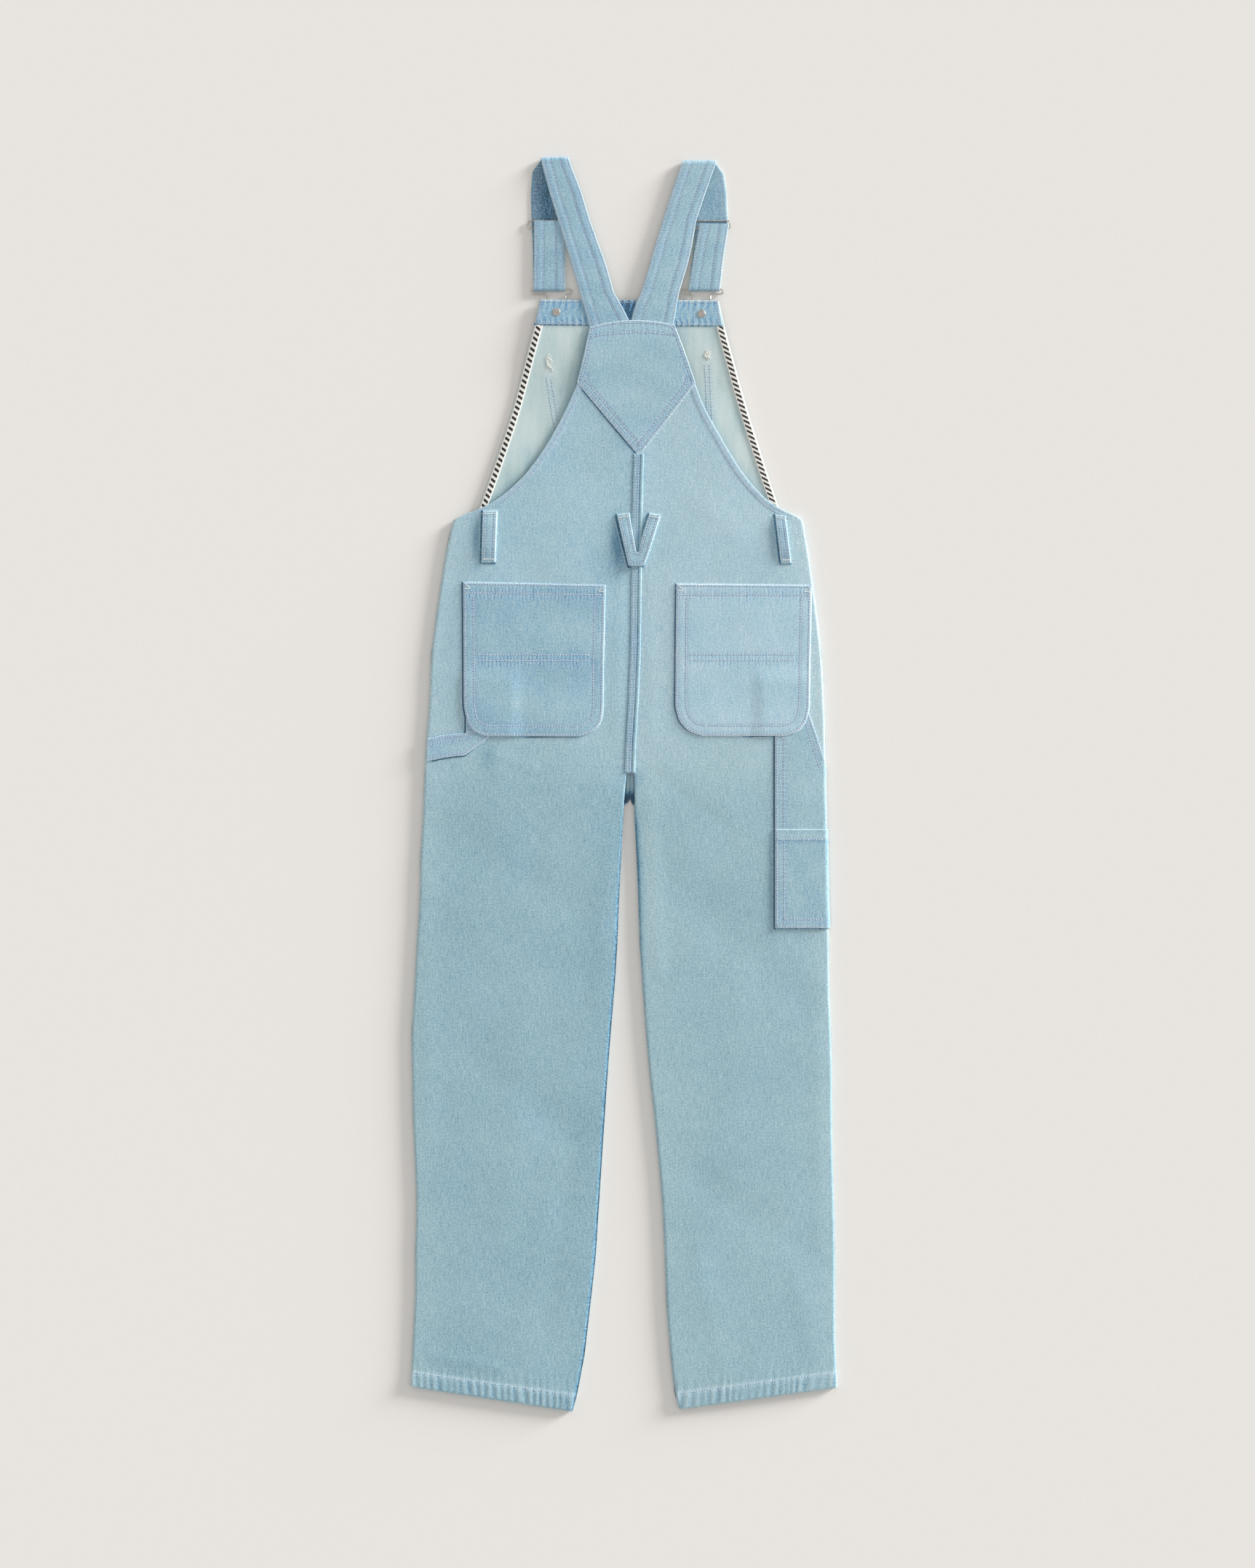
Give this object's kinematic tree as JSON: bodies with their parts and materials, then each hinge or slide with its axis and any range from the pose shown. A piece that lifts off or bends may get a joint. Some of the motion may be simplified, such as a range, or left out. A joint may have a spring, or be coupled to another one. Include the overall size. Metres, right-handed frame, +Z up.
{
  "type": "denim bib overalls",
  "caption": "Washed denim bib overalls laid flat, back side up: crossed straps with buckles, patch pockets, tool pocket and hammer loop.",
  "frame": {"origin": "centre of the laid-out garment's outline, on the surface it lies on", "axes": "+Y towards the shoulder straps, +X to the right as seen from above with the back side up, +Z up away from the surface"},
  "size_m": [0.5149, 1.5162, 0.0095],
  "materials": {
    "denim": "washed twill, matte",
    "denim_dark": "washed twill, less faded, matte",
    "denim_inside": "pale inner side of the twill, matte",
    "edge_tape": "woven cotton tape, matte",
    "hardware": "nickel-plated steel, satin"
  },
  "bodies": {
    "root": {"back_panel_left": "denim", "back_panel_right": "denim", "front_panel_left": "denim", "front_panel_right": "denim", "center_back_seam": "denim", "yoke": "denim", "bib": "denim_inside", "bib_pocket": "denim", "bib_facing": "denim_dark", "bib_tape_left": "edge_tape", "bib_tape_right": "edge_tape", "back_pocket_left": "denim", "back_pocket_right": "denim", "belt_loop_left": "denim", "belt_loop_right": "denim", "belt_loop_back": "denim", "hammer_loop": "denim_dark", "tool_pocket": "denim", "tool_pocket_small": "denim", "strap_left": "denim", "strap_right": "denim", "slider_left": "hardware", "slider_right": "hardware", "buckle_left": "hardware", "buckle_right": "hardware", "bib_button_left": "hardware", "bib_button_right": "hardware", "button_tack_left": "hardware", "button_tack_right": "hardware"}
  },
  "joints": []
}
